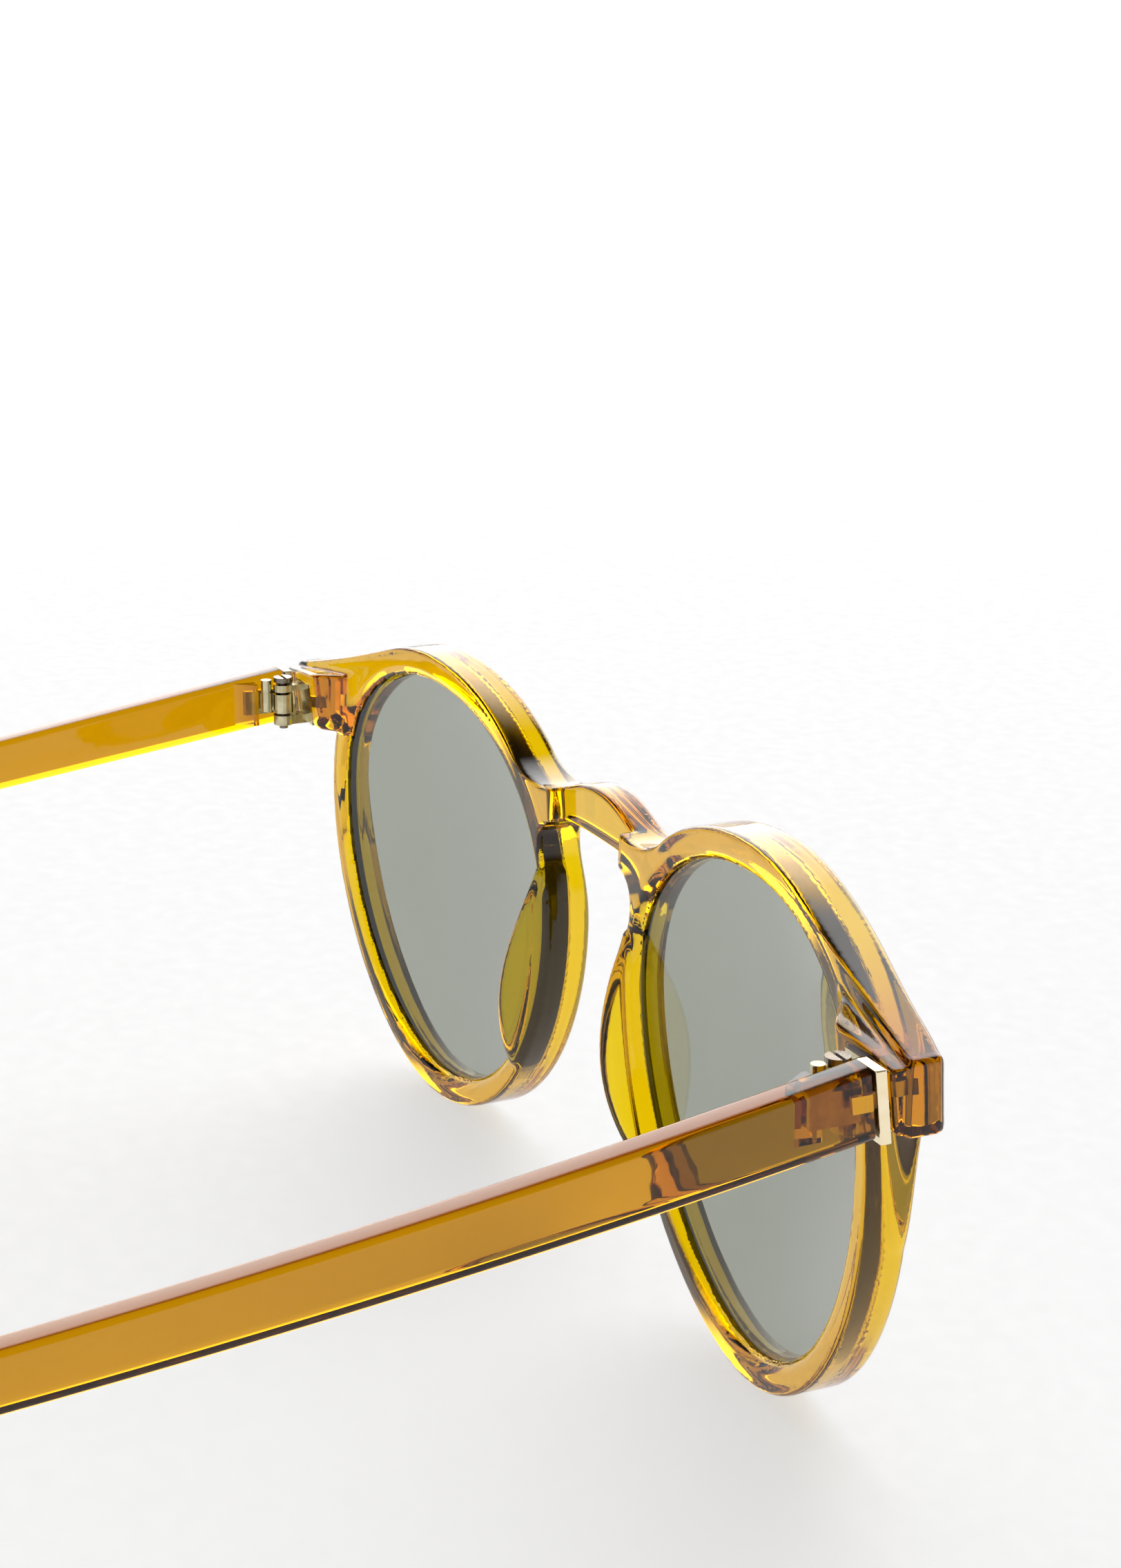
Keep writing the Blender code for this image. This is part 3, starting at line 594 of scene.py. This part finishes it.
def tinted_lens():
    """Grey-green lens plastic, with a faint unevenness in its tint and polish."""
    nodes = Nodes("tinted_lens")
    cloud = nodes.noise(60, 2)
    scuffs = nodes.noise(1800, 2)
    nodes.set(
        Base_Color=nodes.mix(nodes.range(cloud, 0, 1), (1.0, 1.0, 1.0, 1), (0.96, 0.98, 0.96, 1)),
        Roughness=nodes.range(scuffs, 0.0, 0.015),
        Normal=nodes.bump(nodes.noise(150, 1), 0.01 * MM),
        IOR=1.5,
        Transmission_Weight=1.0,
    )
    nodes.absorb(LENS_LOSS)
    return nodes.material


def metal(name, pale, dark, roughness):
    """Plated metal with drawn polishing marks and slightly dulled patches."""
    nodes = Nodes(name)
    patches = nodes.noise(700, 3)
    marks = nodes.noise(5000, 2, (1, 1, 0.08))
    nodes.set(
        Base_Color=nodes.mix(nodes.range(patches, 0, 1), (*pale, 1), (*dark, 1)),
        Roughness=nodes.range(marks, roughness * 0.7, roughness * 1.5),
        Normal=nodes.bump(marks, 0.004 * MM),
        Metallic=1.0,
    )
    return nodes.material


def floor_surface():
    nodes = Nodes("matt_white_floor")
    cloud = nodes.noise(3, 3)
    nodes.set(
        Base_Color=nodes.mix(
            nodes.range(cloud, 0, 1), (0.62, 0.62, 0.62, 1), (0.605, 0.605, 0.61, 1)
        ),
        Roughness=nodes.range(nodes.noise(400, 3), 0.6, 0.75),
        Normal=nodes.bump(nodes.noise(2500, 3), 0.01 * MM),
        Emission_Color=(1.0, 1.0, 1.0, 1),
        Emission_Strength=0.6,
        Specular_IOR_Level=0.15,
    )
    return nodes.material


# ---------------------------------------------------------------- pieces


def make_front(material):
    low = (-END_X - 0.6 * MM, -0.6 * MM, -29.2 * MM)
    high = (END_X + 0.6 * MM, END_REAR_Y + 0.8 * MM, 22.6 * MM)
    mesh = mesh_of_distance("front_with_nose_pads", front_distance, low, high, VOXEL)
    nodes = ("front_frame", "right_nose_pad", "left_nose_pad")
    add_piece("front_with_nose_pads", mesh, "front", material, "amber_plastic", *nodes)


def lens_mesh(name, side):
    """A lens cut to the opening's outline, with its own base curve on both faces."""
    centre = np.array((LENS_CENTRE_X, LENS_MIDDLE_Z))
    angles = [360 * i / LENS_TURNS for i in range(LENS_TURNS)]
    rim = np.array([opening_point(angle, LENS_EDGE) for angle in angles])
    inset = np.array([opening_point(angle, LENS_EDGE - LENS_CHAMFER) for angle in angles])
    shares = [math.sin(math.pi / 2 * (i + 1) / LENS_RINGS) for i in range(LENS_RINGS)]

    def level(points, share, y):
        bulge = LENS_BULGE * (share * share - 1)
        return [(side * x, y + FRONT_CURVE * x * x + lens_sweep(x) + bulge, z) for x, z in points]

    front, rear = LENS_FRONT_Y, LENS_FRONT_Y + LENS_THICKNESS
    loops = [level(centre + s * (inset - centre), s, front) for s in shares]
    loops.append(level(rim, 1, front + LENS_CHAMFER))
    loops.append(level(rim, 1, rear - LENS_CHAMFER))
    loops += [level(centre + s * (inset - centre), s, rear) for s in reversed(shares)]
    return loft(name, loops, fans=True)


def loft(name, loops, fans=False):
    """A closed skin through loops of equal length, closed by flat caps or by fans of triangles."""
    bm = bmesh.new()
    rings = [[bm.verts.new(point) for point in loop] for loop in loops]
    count = len(rings[0])
    for ring, following in zip(rings, rings[1:]):
        for i in range(count):
            j = (i + 1) % count
            bm.faces.new((ring[i], ring[j], following[j], following[i]))
    for ring in (rings[0], rings[-1]):
        if fans:
            middle = bm.verts.new(sum((v.co for v in ring), Vector()) / count)
            for i in range(count):
                bm.faces.new((ring[i], ring[(i + 1) % count], middle))
        else:
            bm.faces.new(ring)
    bmesh.ops.recalc_face_normals(bm, faces=bm.faces)
    mesh = bpy.data.meshes.new(name)
    bm.to_mesh(mesh)
    bm.free()
    return mesh


def make_lenses(material, edge):
    for label, side in SIDES.items():
        name = f"{label}_curved_lens"
        mesh = lens_mesh(name, side)
        add_piece(name, mesh, "front", material, "tinted_lens", f"{label}_lens")
        # The edge band gets a second material, a near-black painted shade.
        mesh.materials.append(edge)
        for face in mesh.polygons:
            if all(i // LENS_TURNS in EDGE_LOOPS for i in face.vertices):
                face.material_index = 1


def temple_path():
    """Stations (y, z, pitch, height) of the temple's middle line, from the hinge to the ear tip."""
    straight, bend = 90, 32
    stations = []
    for i in range(straight + 1):
        run = (BEND_START - (TEMPLE_FRONT_Y - AXIS_Y)) * i / straight
        z = TEMPLE_Z - TEMPLE_DROP * run + TEMPLE_RISE * run * run
        pitch = math.atan(TEMPLE_DROP - 2 * TEMPLE_RISE * run)
        pitch += (math.atan(HINGE_LEAN) - pitch) * max(1 - i / 4, 0)
        height = TEMPLE_HEIGHT + (NECK_HEIGHT - TEMPLE_HEIGHT) * i / straight
        stations.append((TEMPLE_FRONT_Y + run, z, pitch, height))
    y, z, start_pitch, _ = stations[-1]
    for i in range(1, bend + 1):
        pitch = start_pitch + (EAR_PITCH - start_pitch) * i / bend
        stations.append((
            y + BEND_RADIUS * (math.sin(pitch) - math.sin(start_pitch)),
            z - BEND_RADIUS * (math.cos(start_pitch) - math.cos(pitch)),
            pitch,
            NECK_HEIGHT + (TIP_HEIGHT - NECK_HEIGHT) * i / bend,
        ))
    y, z, pitch, height = stations[-1]
    floor = -ORIGIN.z
    length = (z - (floor + TIP_HEIGHT / 2 + 0.1 * MM)) / math.sin(EAR_PITCH)
    ahead, down = math.cos(EAR_PITCH), math.sin(EAR_PITCH)
    for i in range(1, 9):
        reach = length * i / 8
        stations.append((y + reach * ahead, z - reach * down, pitch, height))
    for turn in range(8, 81, 8):
        reach = length + TIP_HEIGHT / 2 * math.sin(math.radians(turn))
        narrow = TIP_HEIGHT * math.cos(math.radians(turn))
        stations.append((y + reach * ahead, z - reach * down, pitch, narrow))
    return stations


def temple_section(side, station):
    """A rounded rectangle across the temple, square to its middle line."""
    y, z, pitch, height = station
    run = y - TEMPLE_FRONT_Y
    outer = TEMPLE_OUTER_X + TEMPLE_SPLAY * run - TEMPLE_BOW * run * run
    half_x, half_z = TEMPLE_THICKNESS / 2, height / 2
    corner = min(TEMPLE_ROUND, 0.8 * half_z)
    up = Vector((0, math.sin(pitch), math.cos(pitch)))
    ring = []
    for quarter in range(4):
        sign_x = (1, -1, -1, 1)[quarter]
        sign_z = (1, 1, -1, -1)[quarter]
        for turn in range(0, 91, 15):
            angle = math.radians(90 * quarter + turn)
            across = sign_x * (half_x - corner) + corner * math.cos(angle)
            upward = sign_z * (half_z - corner) + corner * math.sin(angle)
            point = Vector((side * (outer - half_x + across), y, z)) + up * upward
            ring.append(point)
    return ring


def united(mesh, other):
    """The exact union of two meshes, as a new mesh."""
    objects = [bpy.data.objects.new(m.name, m) for m in (mesh, other)]
    for obj in objects:
        bpy.context.scene.collection.objects.link(obj)
    modifier = objects[0].modifiers.new("union", "BOOLEAN")
    modifier.operation, modifier.solver, modifier.object = "UNION", "EXACT", objects[1]
    graph = bpy.context.evaluated_depsgraph_get()
    result = bpy.data.meshes.new_from_object(objects[0].evaluated_get(graph))
    for obj in objects:
        bpy.data.objects.remove(obj, do_unlink=True)
    return result


def make_temples(material):
    stations = temple_path()
    for label, side in SIDES.items():
        mesh = loft(f"{label}_temple_blank", [temple_section(side, s) for s in stations])
        boss = loft("boss", [[(side * x * MM, y * MM, z) for x, y in BOSS_PLAN] for z in BOSS_SPAN])
        mesh = united(mesh, boss)
        name = f"{label}_polished_temple"
        obj = add_piece(name, mesh, f"{label}_temple", material, "amber_plastic", f"{label}_temple")
        obj.data.set_sharp_from_angle(angle=math.radians(30))


def dress_hardware(gold, brass, steel):
    """Gives the CAD nodes that stay visible their finished materials."""
    for name, node in frame["nodes"].items():
        if node.hide_render:
            continue
        finish = gold if "trim_plate" in name else steel if "screw" in name else brass
        node.data.materials.clear()
        node.data.materials.append(finish)


# ---------------------------------------------------------------- studio


def make_floor(material):
    bm = bmesh.new()
    bmesh.ops.create_circle(bm, cap_ends=True, radius=FLOOR_RADIUS, segments=96)
    mesh = bpy.data.meshes.new("studio_floor")
    bm.to_mesh(mesh)
    bm.free()
    floor = bpy.data.objects.new("studio_floor", mesh)
    floor.location.z = CAD_BOX[0].z - FLOOR_GAP
    mesh.materials.append(material)
    bpy.context.scene.collection.objects.link(floor)


def make_world():
    """Lights the scene with the lamp or the backdrop, whichever is brighter in a direction."""
    world = bpy.data.worlds.new("white_studio")
    bpy.context.scene.world = world
    world.use_nodes = True
    tree = world.node_tree
    background = tree.nodes["Background"]
    direction = tree.nodes.new("ShaderNodeTexCoord").outputs["Generated"]
    ahead = tree.nodes.new("ShaderNodeVectorMath")
    ahead.operation = "DOT_PRODUCT"
    ahead.inputs[1].default_value = LAMP_AIM
    tree.links.new(direction, ahead.inputs[0])
    height = tree.nodes.new("ShaderNodeSeparateXYZ")
    tree.links.new(direction, height.inputs["Vector"])
    brighter = tree.nodes.new("ShaderNodeMath")
    brighter.operation = "MAXIMUM"
    sources = ((ahead.outputs["Value"], LAMP), (height.outputs["Z"], BACKDROP))
    for i, (value, limits) in enumerate(sources):
        shade = tree.nodes.new("ShaderNodeMapRange")
        shade.interpolation_type = "SMOOTHSTEP"
        for key, limit in zip(("From Min", "From Max", "To Min", "To Max"), limits):
            shade.inputs[key].default_value = limit
        tree.links.new(value, shade.inputs["Value"])
        tree.links.new(shade.outputs["Result"], brighter.inputs[i])
    tree.links.new(brighter.outputs["Value"], background.inputs["Strength"])
    background.inputs["Color"].default_value = (1.0, 1.0, 1.0, 1)


def make_camera():
    camera = bpy.data.cameras.new("camera")
    camera.sensor_fit = "VERTICAL"
    camera.sensor_width = camera.sensor_height = SENSOR
    camera.lens = FOCAL_LENGTH
    camera.clip_start, camera.clip_end = 0.01, 30
    obj = bpy.data.objects.new("camera", camera)
    obj.location = CAMERA_PLACE
    level = math.cos(CAMERA_DROP)
    ahead, aside = math.cos(CAMERA_HEADING) * level, math.sin(CAMERA_HEADING) * level
    aim = Vector((ahead, aside, -math.sin(CAMERA_DROP)))
    obj.rotation_mode = "QUATERNION"
    obj.rotation_quaternion = aim.to_track_quat("-Z", "Y")
    bpy.context.scene.collection.objects.link(obj)
    bpy.context.scene.camera = obj


def main():
    make_front(amber_plastic("amber_plastic", FRONT_TINT, FRONT_LOSS))
    make_lenses(tinted_lens(), painted_shade_lens_edge())
    make_temples(amber_plastic("deep_amber_plastic", TEMPLE_TINT, TEMPLE_LOSS))
    gold = metal("gold_plating", (1.0, 0.88, 0.64), (0.95, 0.80, 0.52), 0.16)
    brass = metal("polished_brass", (0.72, 0.66, 0.44), (0.52, 0.46, 0.28), 0.18)
    steel = metal("dark_steel", (0.33, 0.29, 0.25), (0.22, 0.19, 0.16), 0.22)
    dress_hardware(gold, brass, steel)
    make_floor(floor_surface())
    make_world()
    make_camera()
    bpy.context.scene.view_settings.view_transform = "Standard"


main()
